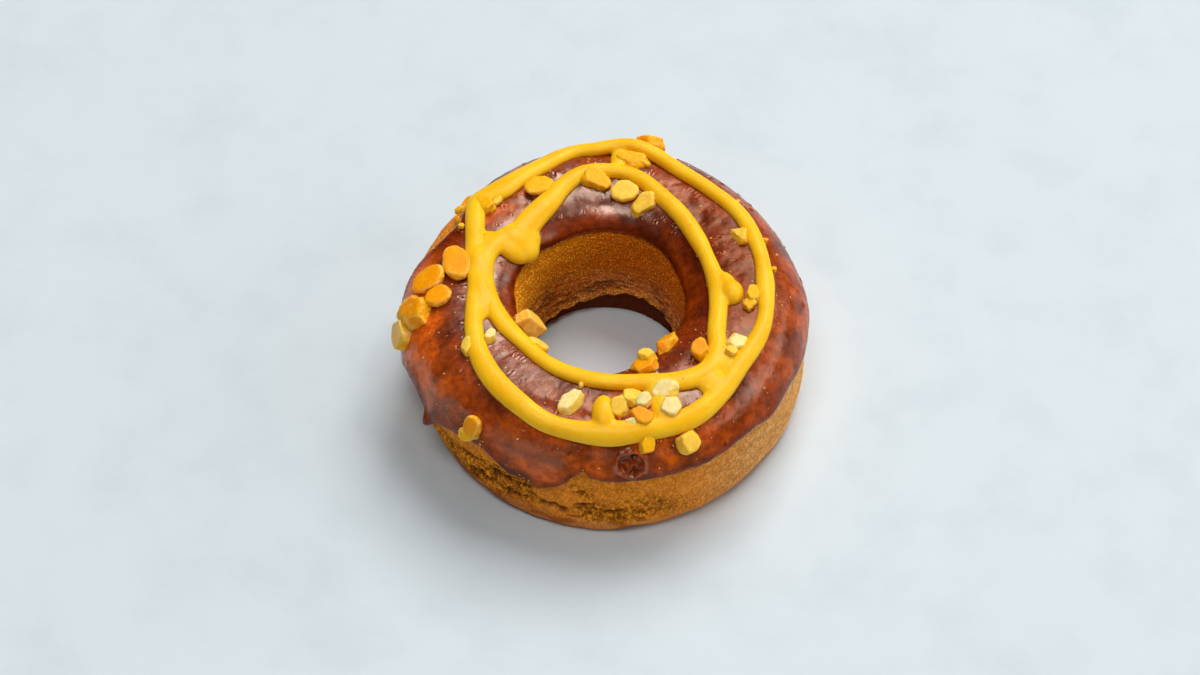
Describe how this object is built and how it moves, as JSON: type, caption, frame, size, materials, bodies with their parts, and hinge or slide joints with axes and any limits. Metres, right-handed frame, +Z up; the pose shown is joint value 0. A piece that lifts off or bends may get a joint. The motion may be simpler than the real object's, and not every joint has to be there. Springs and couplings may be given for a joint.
{
  "type": "peanut butter chocolate doughnut",
  "caption": "Cake ring doughnut with a flat base and a round hole, chocolate icing over its crown, looping ribbons of peanut butter and chopped peanuts.",
  "frame": {"origin": "middle of the flat base, under the middle of the ring's outline", "axes": "+Z up through the hole, +X to the right and -Y towards the viewer of the picture"},
  "size_m": [0.0803, 0.08, 0.0314],
  "materials": {
    "cake": "matt baked crumb with an open grain",
    "icing": "smooth set chocolate with a soft sheen"
  },
  "bodies": {
    "root": {"cake": "cake", "chocolate_icing": "icing"}
  },
  "joints": []
}
